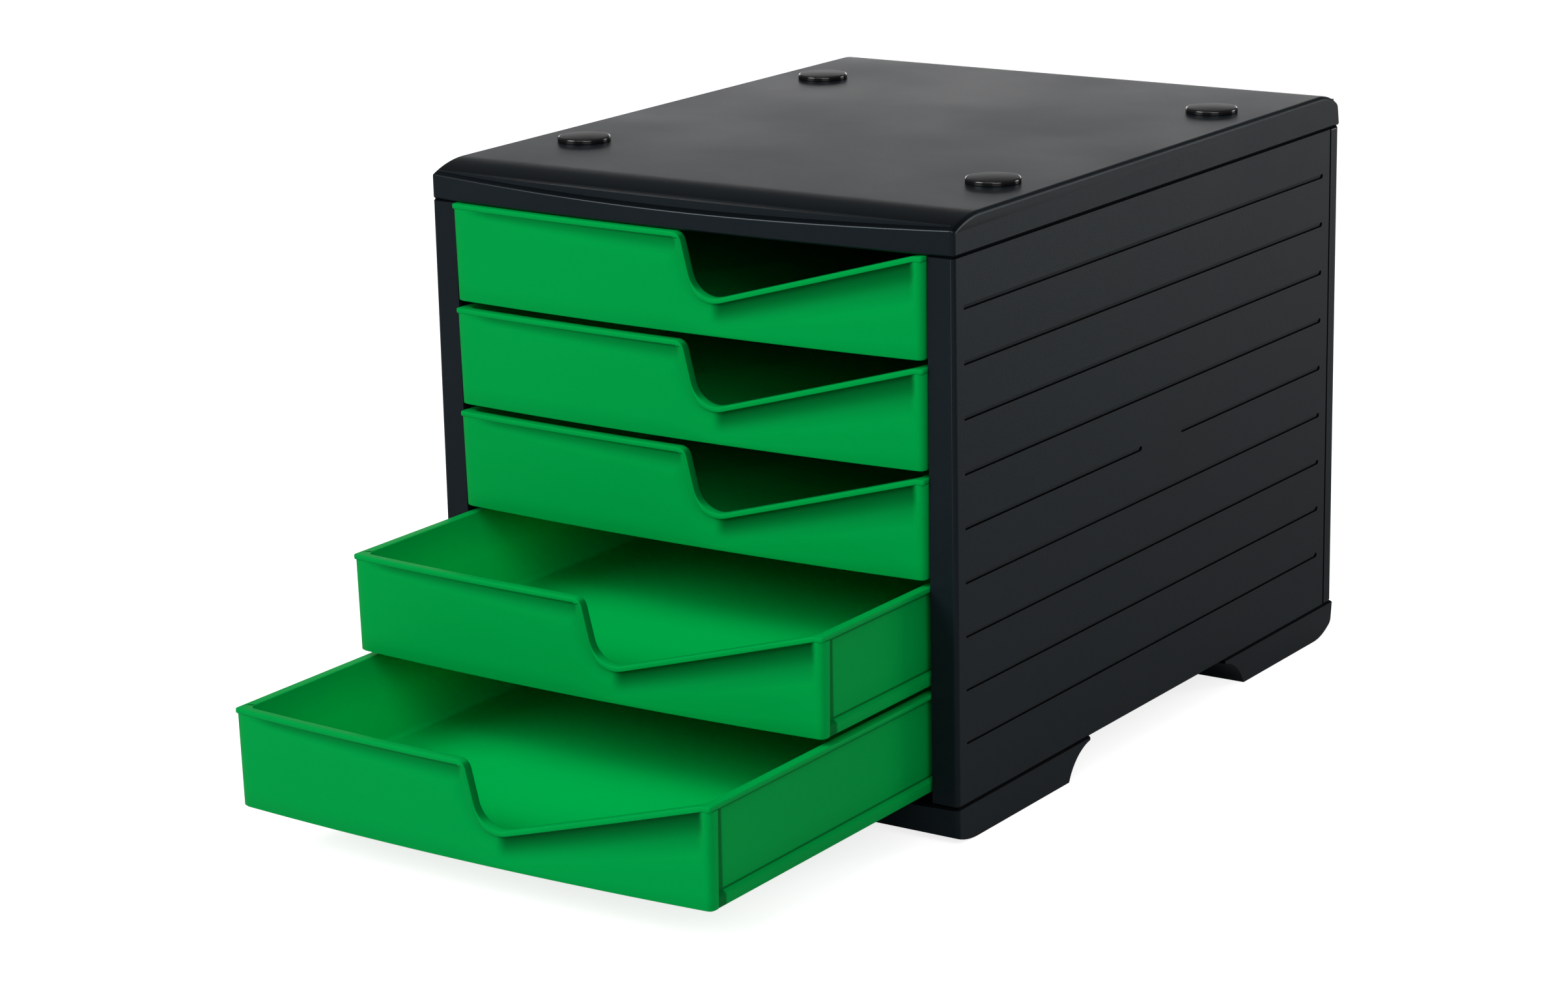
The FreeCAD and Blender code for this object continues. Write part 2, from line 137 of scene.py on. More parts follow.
# soft ambient light, darker where gloss mirrors it, and a white backdrop
def makeWorld(setup):
    world = bpy.data.worlds.new("studio")
    bpy.context.scene.world = world
    world.use_nodes = True
    tree = world.node_tree
    tree.nodes.clear()
    link = tree.links.new
    path = tree.nodes.new("ShaderNodeLightPath")
    mirrored = path.outputs["Is Glossy Ray"]
    seen = mathNode(tree, "MAXIMUM", path.outputs["Is Camera Ray"], path.outputs["Is Transmission Ray"])
    seen = mathNode(tree, "MULTIPLY_ADD", mirrored, setup["backdropInGloss"], seen)
    shades = {}
    for name in ("ambient", "inGloss", "backdrop"):
        shades[name] = tree.nodes.new("ShaderNodeBackground")
        shades[name].inputs["Color"].default_value = (1, 1, 1, 1)
        shades[name].inputs["Strength"].default_value = setup[name]
    air = tree.nodes.new("ShaderNodeMixShader")
    link(mirrored, air.inputs[0])
    link(shades["ambient"].outputs[0], air.inputs[1])
    link(shades["inGloss"].outputs[0], air.inputs[2])
    whole = tree.nodes.new("ShaderNodeMixShader")
    link(seen, whole.inputs[0])
    link(air.outputs[0], whole.inputs[1])
    link(shades["backdrop"].outputs[0], whole.inputs[2])
    out = tree.nodes.new("ShaderNodeOutputWorld")
    link(whole.outputs[0], out.inputs["Surface"])


floorSetup = {"half": 6.0, "colour": (0.6, 0.6, 0.6), "glow": 0.8}  # the glow shows to the camera alone


def makeFloor(setup):
    mesh = bpy.data.meshes.new("floor")
    half = setup["half"]
    corners = [(-half, -half, 0), (half, -half, 0), (half, half, 0), (-half, half, 0)]
    mesh.from_pydata(corners, [], [(0, 1, 2, 3)])
    floor = bpy.data.objects.new("floor", mesh)
    bpy.context.scene.collection.objects.link(floor)
    material = bpy.data.materials.new("paleFloor")
    material.use_nodes = True
    tree = material.node_tree
    tree.nodes.clear()
    matte = tree.nodes.new("ShaderNodeBsdfDiffuse")
    matte.inputs["Color"].default_value = (*setup["colour"], 1)
    path = tree.nodes.new("ShaderNodeLightPath")
    glow = tree.nodes.new("ShaderNodeEmission")
    glow.inputs["Color"].default_value = (1, 1, 1, 1)
    strength = mathNode(tree, "MULTIPLY", path.outputs["Is Camera Ray"], setup["glow"])
    tree.links.new(strength, glow.inputs["Strength"])
    both = tree.nodes.new("ShaderNodeAddShader")
    tree.links.new(matte.outputs[0], both.inputs[0])
    tree.links.new(glow.outputs[0], both.inputs[1])
    out = tree.nodes.new("ShaderNodeOutputMaterial")
    tree.links.new(both.outputs[0], out.inputs["Surface"])
    mesh.materials.append(material)


makeCamera(cameraSetup)
makeLamps(lampSetup)
makeWorld(airSetup)
makeFloor(floorSetup)
bpy.context.scene.view_settings.view_transform = "Standard"
print("camera, stage and light are made")


# finishes

plasticFinishes = {
    "grainedHousing": {
        "colour": (0.0045, 0.0076, 0.0104), "shift": 0.2, "shiftScale": 14,
        "roughness": 0.40, "roughShift": 0.06, "specular": 0.13, "specularTint": (0.82, 0.95, 1.0, 1),
        # the second value on the next line sets how dark the painted shade on the cover's roll is
        "polishedBy": 0.2, "paintedShadingStrength": 0.62,
        "grainScale": 1500, "grainStrength": 0.3, "grainDepth": 0.00014,
    },
    "satinGreen": {
        "colour": (0.0, 0.3, 0.052), "shift": 0.04, "shiftScale": 9,
        "roughness": 0.42, "roughShift": 0.05, "specular": 0.03, "specularTint": (0.1, 1.0, 0.45, 1),
        # how strongly painted shade darkens, and painted light lightens, the drawers' green
        "paintedShadingStrength": 0.62,
        "grainScale": 1800, "grainStrength": 0.04, "grainDepth": 0.00005,
    },
    "polishedEdge": {
        "colour": (0.0045, 0.0076, 0.0104), "shift": 0.2, "shiftScale": 14,
        "roughness": 0.24, "roughShift": 0.04, "specular": 0.3, "specularTint": (0.82, 0.95, 1.0, 1),
        "grainScale": 1500, "grainStrength": 0.1, "grainDepth": 0.00005,
    },
    # very dark finish that paints the shade in seams and grooves
    "paintedSeamShade": {
        "colour": (0.0011, 0.0015, 0.002), "shift": 0.2, "shiftScale": 14,
        "roughness": 0.6, "roughShift": 0.05, "specular": 0.02,
        "grainScale": 1500, "grainStrength": 0.2, "grainDepth": 0.0001,
    },
    "glossCap": {
        "colour": (0.004, 0.004, 0.0045), "shift": 0.1, "shiftScale": 30,
        "roughness": 0.14, "roughShift": 0.03, "specular": 0.6,
        "grainScale": 900, "grainStrength": 0.03, "grainDepth": 0.00004,
    },
    "satinCap": {
        "colour": (0.005, 0.006, 0.007), "shift": 0.1, "shiftScale": 30,
        "roughness": 0.36, "roughShift": 0.04, "specular": 0.03,
        "grainScale": 1500, "grainStrength": 0.1, "grainDepth": 0.00005,
    },
}
polishTakes = 0.9  # share of the grain that full polish takes away


# the painted shading on a mesh darkens its colour as painted shade, or lightens it as painted light where
# it is below zero, and "polish" lowers its roughness and its grain
def makePlastic(name, look):
    material = bpy.data.materials.new(name)
    material.use_nodes = True
    tree = material.node_tree
    link = tree.links.new
    shader = tree.nodes["Principled BSDF"]
    shader.inputs["Specular IOR Level"].default_value = look["specular"]
    shader.inputs["Specular Tint"].default_value = look.get("specularTint", (1, 1, 1, 1))
    place = tree.nodes.new("ShaderNodeTexCoord")

    def noise(scale, detail):
        texture = tree.nodes.new("ShaderNodeTexNoise")
        texture.inputs["Scale"].default_value = scale
        texture.inputs["Detail"].default_value = detail
        link(place.outputs["Object"], texture.inputs["Vector"])
        return texture

    def spread(texture, middle, shift):
        mapped = tree.nodes.new("ShaderNodeMapRange")
        mapped.inputs["To Min"].default_value = middle - shift
        mapped.inputs["To Max"].default_value = middle + shift
        link(texture.outputs["Fac"], mapped.inputs["Value"])
        return mapped.outputs["Result"]

    def onMesh(attribute):
        reader = tree.nodes.new("ShaderNodeAttribute")
        reader.attribute_name = attribute
        return reader.outputs["Fac"]

    cloud = noise(look["shiftScale"], 3)  # slow drift of colour and gloss over the moulding
    tint = spread(cloud, 1, look["shift"])
    # painted shade and painted light: the colour is scaled by the mesh's painted shading
    if "paintedShadingStrength" in look:
        paintedShadingScale = mathNode(tree, "MULTIPLY_ADD", onMesh("paintedShading"), -look["paintedShadingStrength"], 1)
        tint = mathNode(tree, "MULTIPLY", paintedShadingScale, tint)
    colour = tree.nodes.new("ShaderNodeVectorMath")
    colour.operation = "SCALE"
    colour.inputs[0].default_value = look["colour"]
    link(tint, colour.inputs["Scale"])
    link(colour.outputs["Vector"], shader.inputs["Base Color"])

    gloss = spread(cloud, look["roughness"], look["roughShift"])
    grain = noise(look["grainScale"], 2)
    grain.inputs["Roughness"].default_value = 0.6  # of the noise, for a crisp grain
    bump = tree.nodes.new("ShaderNodeBump")
    bump.inputs["Strength"].default_value = look["grainStrength"]
    bump.inputs["Distance"].default_value = look["grainDepth"]
    link(grain.outputs["Fac"], bump.inputs["Height"])
    if "polishedBy" in look:
        polished = onMesh("polish")
        gloss = mathNode(tree, "MULTIPLY_ADD", polished, -look["polishedBy"], gloss)
        lost = -polishTakes * look["grainStrength"]
        plainer = mathNode(tree, "MULTIPLY_ADD", polished, lost, look["grainStrength"])
        link(plainer, bump.inputs["Strength"])
    link(gloss, shader.inputs["Roughness"])
    link(bump.outputs["Normal"], shader.inputs["Normal"])
    return material


finishes = {name: makePlastic(name, look) for name, look in plasticFinishes.items()}
print("finishes are made")


# shared shaping

def smoothStep(value):
    value = min(1.0, max(0.0, value))
    return value * value * (3 - 2 * value)


def freshMesh(name, points, faces):
    mesh = bpy.data.meshes.new(name)
    mesh.from_pydata([Vector(point) * mm for point in points], [], faces)
    mesh.update()
    return mesh


# quads between neighbouring columns of `count` points, and from the last to the first if closed
def gridFaces(columns, count, closed):
    faces = []
    for column in range(columns if closed else columns - 1):
        following = (column + 1) % columns
        for row in range(count - 1):
            a, b = column * count + row, following * count + row
            faces.append((a, b, b + 1, a + 1))
    return faces


def newPiece(name, mesh):
    piece = bpy.data.objects.new(name, mesh)
    bpy.context.scene.collection.objects.link(piece)
    return piece


# y of a bowed front with its middle at `middle`, at x and `inset` mm behind its face
def bowedY(middle, x, inset=0.0):
    return middle + frontBow - math.sqrt((frontBow - inset) ** 2 - x ** 2)


# merges doubled points, drops edges shorter than `thin` and turns all faces outwards
def closeMesh(mesh, thin=0.0):
    shape = bmesh.new()
    shape.from_mesh(mesh)
    bmesh.ops.remove_doubles(shape, verts=shape.verts, dist=mergeReach)
    if thin:
        bmesh.ops.dissolve_degenerate(shape, edges=shape.edges, dist=thin)
    bmesh.ops.recalc_face_normals(shape, faces=shape.faces)
    shape.to_mesh(mesh)
    shape.free()


# turns what the modifiers make into a plain mesh
def bakeModifiers(piece):
    graph = bpy.context.evaluated_depsgraph_get()
    baked = bpy.data.meshes.new_from_object(piece.evaluated_get(graph), depsgraph=graph)
    old = piece.data
    piece.modifiers.clear()
    piece.data = baked
    bpy.data.meshes.remove(old)


# keeps broad faces flat beside soft edges
def keepFacesFlat(piece):
    normals = piece.modifiers.new("flatFaces", "WEIGHTED_NORMAL")
    normals.keep_sharp = True


def smoothShading(mesh, sharpAngle):
    mesh.polygons.foreach_set("use_smooth", [True] * len(mesh.polygons))
    mesh.set_sharp_from_angle(angle=math.radians(sharpAngle))


def finishPiece(piece, material, slotName, body, *replaced):
    if material not in list(piece.data.materials):
        piece.data.materials.clear()
        piece.data.materials.append(material)
    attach(piece, body)
    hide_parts(*replaced)


# housing: the moulded forms with their edges softened

housingSoftness = {  # width of the round in mm, least angle of an edge that gets it, side of the box
    "front_foot": {"width": 0.7, "angle": 25},
    "rear_foot": {"width": 0.7, "angle": 25},
    "floor_plate": {"width": 0.4, "angle": 25},
    "left_side_panel": {"width": 0.18, "angle": 14, "side": -1},
    "right_side_panel": {"width": 0.18, "angle": 14, "side": 1},
    "back_panel": {"width": 0.9, "angle": 25},
}
housingSharp = 40  # degrees past which an edge of the housing stays sharp
grooveEnds = {  # small round pits where the grooves of the sides end, in mm
    "half": boxHalf, "first": 229.9, "pitch": 23.35, "count": 9, "rear": 240.75, "middleRear": 64.25,
    "radius": 1.1, "depth": 0.9, "lift": 1.15, "segments": 16,
}
deepLines = {  # seams between the pieces and grooves of the sides, which get a very dark finish as painted shade, in mm
    "seamReach": 1.15, "grooveFloor": 133.9, "grooveLip": 134.75, "frontMargin": 5, "rearMargin": 3,
    "rearNotch": 0.8,
}


def pitCutter(ends, side):
    mesh = bpy.data.meshes.new("pits")
    shape = bmesh.new()
    spots = [(ends["rear"], index) for index in range(ends["count"])]
    spots.append((ends["middleRear"], ends["count"] // 2))  # the middle groove is in two parts
    for y, index in spots:
        z = ends["first"] - index * ends["pitch"] + ends["lift"]
        place = Matrix.Translation(Vector((side * ends["half"], y, z)) * mm)
        bmesh.ops.create_cone(
            shape, cap_ends=True, segments=ends["segments"], radius1=ends["radius"] * mm,
            radius2=ends["radius"] * mm, depth=2 * ends["depth"] * mm,
            matrix=place @ Matrix.Rotation(math.pi / 2, 4, "Y"),
        )
    shape.to_mesh(mesh)
    shape.free()
    return newPiece("pitCutter", mesh)


def sinkGrooveEnds(piece, side):
    cutter = pitCutter(grooveEnds, side)
    pits = piece.modifiers.new("pits", "BOOLEAN")
    pits.object = cutter
    pits.operation = "DIFFERENCE"
    pits.solver = "EXACT"
    bakeModifiers(piece)
    bpy.data.objects.remove(cutter)
    smoothShading(piece.data, housingSharp)


# half of a V-notch along the upright rear end of a side panel
def notchRearSeam(shape, width):
    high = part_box("right_side_panel")[1]
    cut = shape.verts[:] + shape.edges[:] + shape.faces[:]
    bmesh.ops.bisect_plane(shape, geom=cut, plane_co=(0, high[1] - width, 0), plane_no=(0, 1, 0), dist=1e-7)
    for vertex in shape.verts:
        outside = abs(abs(vertex.co.x) - high[0]) < 1e-6
        if outside and abs(vertex.co.y - high[1]) < 1e-6:
            vertex.co.x = math.copysign(high[0] - width, vertex.co.x)


# paints shade into the seams and grooves by giving their faces the very dark finish
def shadeDeepLines(mesh, lines):
    low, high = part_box("right_side_panel")
    seams = ((2, low[2]), (2, high[2]), (1, high[1]))  # below, above and behind the side panels
    sideStart = low[1] + lines["frontMargin"] * mm
    sideEnd = high[1] - lines["rearMargin"] * mm
    for face in mesh.polygons:
        centre = face.center
        nearSeam = any(abs(centre[axis] - seam) < lines["seamReach"] * mm for axis, seam in seams)
        sunk = lines["grooveFloor"] * mm < abs(centre.x) < lines["grooveLip"] * mm
        onSide = sideStart < centre.y < sideEnd and low[2] < centre.z < high[2]
        if nearSeam or (sunk and onSide):
            face.material_index = 2


# rounds the edges, which the mould leaves smoother than the faces, and bakes the piece
def softenEdges(piece, softness):
    for look in ("grainedHousing", "polishedEdge", "paintedSeamShade"):
        piece.data.materials.append(finishes[look])
    bevel = piece.modifiers.new("softEdges", "BEVEL")
    bevel.width = softness["width"] * mm
    bevel.segments = 3
    bevel.material = 1
    bevel.limit_method = "ANGLE"
    bevel.angle_limit = math.radians(softness["angle"])
    keepFacesFlat(piece)
    bakeModifiers(piece)
    shadeDeepLines(piece.data, deepLines)


def softenedCopy(node, softness):
    side = softness.get("side")
    mesh = nodes[node].data.copy()
    mesh.materials.clear()
    shape = bmesh.new()
    shape.from_mesh(mesh)
    bmesh.ops.remove_doubles(shape, verts=shape.verts, dist=mergeReach)
    bmesh.ops.dissolve_limit(shape, angle_limit=math.radians(0.4), verts=shape.verts, edges=shape.edges)
    if side:
        notchRearSeam(shape, deepLines["rearNotch"] * mm)
    shape.to_mesh(mesh)
    shape.free()
    piece = newPiece(node + "_moulded", mesh)
    smoothShading(mesh, housingSharp)
    if side:
        sinkGrooveEnds(piece, side)
    softenEdges(piece, softness)
    return piece


for node, softness in housingSoftness.items():
    piece = softenedCopy(node, softness)
    finishPiece(piece, finishes["grainedHousing"], "housing", "housing", node)
print("housing pieces are made")


# top cover

coverShape = {  # mm and degrees
    "half": boxHalf, "front": between(boxFront, coverLow[1]), "back": between(boxFront, boxBack),
    "seam": coverLow[2], "height": between(coverLow[2], coverHigh[2]),
    "noseStart": 22.0, "noseRadius": 51.0, "edgeRound": 0.9, "roundOnNose": 1.1, "corner": 2.2,
    "tailStart": 11.5, "tailSlope": 30.0, "tailLength": 11.5, "tailRadius": 31.0, "heelRadius": 4.0,
    "sideRound": 2.0, "sideMargin": 0.4, "seamChamfer": 0.8, "wall": 2.5, "ceilingDrop": 1.0, "sharp": 30,
}
coverSteps = {  # steps of the rounds and across half the width, and degrees for each one of the side's
    "front": 6, "nose": 16, "tail": 8, "heel": 6, "across": 24, "sideTurn": 10,
}
polishedRows = (0, 5, 6, 7, 8, 9, 10)  # rows of faces on the chamfer and the rounded front edge
rollRows = (11, 29)  # rows of points where the rolled nose begins and where the flat top does


def cornerArc(before, corner, after, radius, steps):
    back = (before - corner).normalized()
    ahead = (after - corner).normalized()
    halfAngle = back.angle(ahead) / 2
    centre = corner + (back + ahead).normalized() * (radius / math.sin(halfAngle))
    start = corner + back * (radius / math.tan(halfAngle)) - centre
    end = corner + ahead * (radius / math.tan(halfAngle)) - centre
    return [centre + start.slerp(end, step / steps).normalized() * radius for step in range(steps + 1)]


# side profile of the cover at x: points in YZ from its front seam over the top to its rear seam
def coverSection(shape, x):
    size = abs(x)
    chamfer, corner = shape["seamChamfer"], shape["corner"]
    past = max(0.0, size - (shape["half"] - shape["sideRound"]))
    inset = shape["sideRound"] - math.sqrt(max(0.0, shape["sideRound"] ** 2 - past ** 2))
    cornerX = shape["half"] - corner
    if size > cornerX:
        centreY = bowedY(shape["front"], cornerX, corner)
        frontFace = centreY - math.sqrt(max(0.0, corner ** 2 - (size - cornerX) ** 2))
    else:
        frontFace = bowedY(shape["front"], x)

    radius = shape["noseRadius"] - inset
    centre = Vector((shape["noseStart"], shape["height"] - shape["noseRadius"]))
    first = math.asin((centre.x - frontFace) / radius)
    meet = centre.y + radius * math.cos(first)  # height at which the face would meet the nose
    points = [Vector((frontFace + chamfer, 0))]
    for height in (chamfer, chamfer + 0.3, meet * 0.5, meet - 1):
        points.append(Vector((frontFace, height)))
    edge = Vector((frontFace, meet))
    rising = Vector((math.cos(first), math.sin(first)))
    points += cornerArc(edge - Vector((0, 1)), edge, edge + rising, shape["edgeRound"], coverSteps["front"])
    first -= shape["roundOnNose"] / radius
    for step in range(coverSteps["nose"] + 1):
        angle = first * (1 - step / coverSteps["nose"])
        points.append(centre + Vector((-math.sin(angle), math.cos(angle))) * radius)

    flatStart = Vector((shape["noseStart"], shape["height"]))
    tailTop = Vector((shape["back"] - shape["tailStart"], shape["height"]))
    slope = math.radians(shape["tailSlope"])
    heel = tailTop + Vector((math.cos(slope), -math.sin(slope))) * shape["tailLength"]
    tail = cornerArc(flatStart, tailTop, heel, shape["tailRadius"], coverSteps["tail"])
    tail += cornerArc(tailTop, heel, Vector((shape["back"], 0)), shape["heelRadius"], coverSteps["heel"])
    for share in (0.02, 0.25, 0.5, 0.75, 0.98):
        along = flatStart.x + (tail[0].x - flatStart.x) * share
        points.append(Vector((along, shape["height"] - inset)))
    for index, point in enumerate(tail):
        along = (tail[min(len(tail) - 1, index + 1)] - tail[max(0, index - 1)]).normalized()
        points.append(point + Vector((along.y, -along.x)) * inset)
    points.append(Vector((shape["back"] - inset, chamfer)))
    points.append(Vector((shape["back"] - max(inset, chamfer), 0)))
    return points


# two loops inside the outer one, at the mouth and at the ceiling of the hollow under the cover
def hollowLoops(shape, points, outer):
    inset = shape["wall"] - shape["seamChamfer"]
    limit = shape["half"] - shape["wall"]
    ceiling = shape["seam"] + shape["height"] - shape["wall"] - shape["ceilingDrop"]
    loops = []
    for z in (shape["seam"], ceiling):
        loop = []
        for index in outer:
            x, y, _ = points[index]
            y += inset if y < 0 else -inset
            loop.append(len(points))
            points.append(Vector((max(-limit, min(limit, x)), y, z)))
        loops.append(loop)
    return loops


def coverMesh(shape):
    half, rounding = shape["half"], shape["sideRound"]
    straightEnd = half - shape["corner"] - shape["sideMargin"]
    rightHalf = [straightEnd * step / coverSteps["across"] for step in range(coverSteps["across"] + 1)]
    for angle in range(0, 91, coverSteps["sideTurn"]):
        rightHalf.append(half - rounding + rounding * math.sin(math.radians(angle)))
    places = [-x for x in rightHalf[:0:-1]] + rightHalf
    inner = half - shape["seamChamfer"]
    points = []
    for x in places:
        section = coverSection(shape, x)
        for index, point in enumerate(section):
            across = max(-inner, min(inner, x)) if index in (0, len(section) - 1) else x
            points.append(Vector((across, point.x + boxFront, point.y + shape["seam"])))
    count, last = len(section), len(places) - 1
    faces = gridFaces(len(places), count, False)
    for column in (0, last):  # flat sides and their seam chamfers
        start = column * count
        faces.append([start + row for row in range(1, count - 1)])
        faces.append((start, start + 1, start + count - 2, start + count - 1))
    outer = [column * count for column in range(last + 1)]
    outer += [column * count + count - 1 for column in range(last, -1, -1)]
    loops = [outer] + hollowLoops(shape, points, outer)
    for one, other in zip(loops, loops[1:]):
        for index in range(len(one)):
            following = (index + 1) % len(one)
            faces.append((one[index], one[following], other[following], other[index]))
    faces.append(loops[-1])
    mesh = freshMesh("cover", points, faces)
    for index in range(last * (count - 1)):
        mesh.polygons[index].material_index = 1 if index % (count - 1) in polishedRows else 0
    first, flat = rollRows
    fade = [smoothStep((flat - row) / (flat - first)) if row >= first else 0.0 for row in range(count)]
    fade = fade * len(places)
    fade += [0.0] * (len(points) - len(fade))
    for name in ("polish", "paintedShading"):  # the polished roll is also painted darker, as painted shade
        mesh.attributes.new(name, "FLOAT", "POINT").data.foreach_set("value", fade)
    closeMesh(mesh, 1e-6)
    return mesh


cover = newPiece("top_cover_moulded", coverMesh(coverShape))
smoothShading(cover.data, coverShape["sharp"])
for look in ("grainedHousing", "polishedEdge"):
    cover.data.materials.append(finishes[look])
keepFacesFlat(cover)
bakeModifiers(cover)
finishPiece(cover, finishes["grainedHousing"], "housing", "housing", "top_cover")
print("top cover is made")


# drawers

drawerShape = {  # mm and degrees
    "rimHalf": trayHigh[0], "frontMiddle": between(boxFront, trayLow[1]), "lean": 0.75,
    "height": between(trayLow[2], trayHigh[2]), "rimBack": between(boxFront, trayHigh[1]),
    "rimThickness": 2.2, "rimCorner": 1.5, "frontCorner": 3.8, "frontReturn": 5.6, "returnDrop": 0.25,
    "sideHalf": 119.15, "cavityHalf": 116.95, "cavityCorner": 4.0, "frontWall": 4.6,
    "wallBack": 343.6, "rearRound": 1.0, "cavityBack": 341.4, "floor": 2.0, "floorFillet": 2.4,
    "rimStraight": 105, "floorStraight": 80,  # up to here the inside stands straight behind the front
    "innerStart": 3,  # how far behind the upright corner's middle the inside runs straight
    "railHeight": 6.0, "railWidth": 1.6, "railBack": 337.6, "railLip": 0.12, "lineDepth": 0.25,
    "notchStart": 4.0, "notchLean": 14.0, "notchSlope": 15.8, "notchEndInset": 4.5,
    "notchTopRadius": 5.0, "notchLowRadius": 12.5, "notchEndRadius": 2.5,
    "coveReach": 17.0, "coveDepth": 2.7, "coveDeepest": 0.28, "coveLip": 0.55, "coveLeast": 0.15,
    "coveFade": -117.75, "coveFull": 115.25, "coveRightStart": 18.0, "coveRightEnd": 118.9,
    "coveRunOut": 5, "coveLeftRunOut": 4, "coveOnSteep": 0.55, "steepReach": 7.0, "steepThin": 0.65,
    "edgeRound": 0.55, "innerRound": 0.5, "footRound": 0.6, "frontLowRound": 0.35, "sideLowRound": 0.8,
    "tabWidth": 2.05, "tabRoot": 0.5, "tabLength": 6.0, "tabHeight": 5.8, "tabInset": 2.0, "tabTop": 38.7,
    "sharp": 38,
}
drawerPaintedShading = {  # how much painted shade darkens the green at each place, or for a minus how much painted light lightens it: under the coves, on the steep edge, along fine lines, inside the tray and on the rim's top
    "steep": 0.62, "left": 0.6, "besideSteep": 0.15, "inner": -1.4, "line": 0.9, "edge": -0.3,
    "growth": 12, "hold": 0.2,  # how soon the painted shade of the left cove is full, and share of a cove's reach where the painted shade stays full
    "lineWidth": 6, "lineFade": 1.1,  # mm, for the upright line of painted shade behind the front corner
}
cornerSteps = 8
sideSteps = 14
pathStep, pathTurn = 3, 6  # mm and degrees between points of the front's edge
besideCorner = (0.6, 1.2, 1.8, 2.4, 3.6, 4.8)  # mm before the end of a long run, where the cove fades
longRun = 20
rightStretch = 30  # mm before the edge's right end, where the inside follows its height
nearSteps = 30  # points of the edge, to either side, among which the nearest one is sought
coveLevels = (0, 0.7, 1.5, 2.5, 3.7, 5.1, 6.7, 8.5, 10.5)  # mm under the rim
coveShare = 0.55  # share of the front's height that these levels take at most
shortWall = 19  # mm; where the front is lower, they move closer together
footLow = 0.3  # share of the foot's round at which it has a point
sideLevels = (0, 1.2, 2.2, 10, 18, 26)  # mm under the rim
railLevels = (1.2, 0.5, 0, -0.1)  # mm over the top of the rail
wallLevels = len(sideLevels) + len(railLevels) + 3  # with two under the rail's edge and the foot
innerRows, edgeRows = 6, 5  # rows of a section inside the tray, and next ones on top of its rim
lineRows = (0, 1, 7, 8)  # rows of a side wall painted dark as shade, under the rim and above the rail
railRow = 7  # first row of the foot rail and of the fine line above it
up = Vector((0, 0, 1))
down = Vector((0, 0, -1))


# points from start to end, each with the direction that leads into the material
def straightRun(start, end, steps):
    length = (end - start).length
    along = (end - start).normalized()
    shares = {step / steps for step in range(steps + 1)}
    if length > longRun:
        shares.update(1 - near / length for near in besideCorner)
    return [(start.lerp(end, share), Vector((along.y, -along.x))) for share in sorted(shares)]


# edge of the front in XZ, as points with the direction that leads into the material
def sweptPath(shape):
    top = shape["height"]
    lean = math.radians(shape["notchLean"])
    slope = math.radians(shape["notchSlope"])
    endX = shape["rimHalf"] - shape["notchEndInset"]
    drop = (endX - shape["notchStart"]) / (math.tan(lean) + 1 / math.tan(slope))
    corners = [
        Vector((-shape["rimHalf"] + shape["rimCorner"], top)),
        Vector((shape["notchStart"], top)),
        Vector((shape["notchStart"] + drop * math.tan(lean), top - drop)),
        Vector((endX, top)),
        Vector((shape["rimHalf"] - shape["rimCorner"], top)),
    ]
    radii = [shape["notchTopRadius"], shape["notchLowRadius"], shape["notchEndRadius"]]
    path = []
    start = corners[0]
    for before, corner, after, radius in zip(corners, corners[1:], corners[2:], radii):
        back = (before - corner).normalized()
        ahead = (after - corner).normalized()
        halfAngle = back.angle(ahead) / 2
        reach = radius / math.tan(halfAngle)
        arcStart = corner + back * reach
        centre = corner + (back + ahead).normalized() * (radius / math.sin(halfAngle))
        path += straightRun(start, arcStart, max(2, round((arcStart - start).length / pathStep)))
        turn = math.pi - 2 * halfAngle
        steps = max(5, round(turn / math.radians(pathTurn)))
        side = 1 if (centre - corner).y > 0 else -1  # below the path the arc is convex
        first = math.atan2(arcStart.y - centre.y, arcStart.x - centre.x)
        for step in range(1, steps):
            angle = first + side * turn * step / steps
            spoke = Vector((math.cos(angle), math.sin(angle)))
            path.append((centre + spoke * radius, spoke * side))
        start = corner + ahead * reach
    return path + straightRun(start, corners[-1], 4)


# height of the cut edge at x near its right end, and `level` further left
def edgeHeight(path, x, level):
    if x < path[-1][0].x - rightStretch:
        return level
    for (before, _), (after, _) in zip(path, path[1:]):
        if before.x <= x <= after.x:
            return before.y + (after.y - before.y) * (x - before.x) / max(1e-6, after.x - before.x)
    return level


# centre of an upright round of radius `corner` between the bow and the side at x = `half`
def cornerCentreY(shape, half, corner):
    return bowedY(shape["frontMiddle"], half - corner, corner)


# distance from a point of the front to its cut edge, and the x of the nearest place there
def nearestOnPath(path, x, z, around):
    best, bestX = 1e9, x
    for index in range(max(0, around - nearSteps), min(len(path) - 1, around + nearSteps)):
        start, end = path[index][0], path[index + 1][0]
        run = end - start
        share = min(1.0, max(0.0, (Vector((x, z)) - start).dot(run) / max(1e-9, run.length_squared)))
        spot = start + run * share
        away = (Vector((x, z)) - spot).length
        if away < best:
            best, bestX = away, spot.x
    return best, bestX


# depth of the cove as a share of its full depth: a step at the rim, a round, then a long fade
def coveProfile(shape, below, reach):
    share = below / reach
    lip, deepest = shape["coveLip"], shape["coveDeepest"]
    if share >= 1:
        return 0.0
    if share < deepest:
        return lip + (1 - lip) * math.sqrt(1 - (1 - max(0.0, share) / deepest) ** 2)
    return 1 - smoothStep((share - deepest) / (1 - deepest))
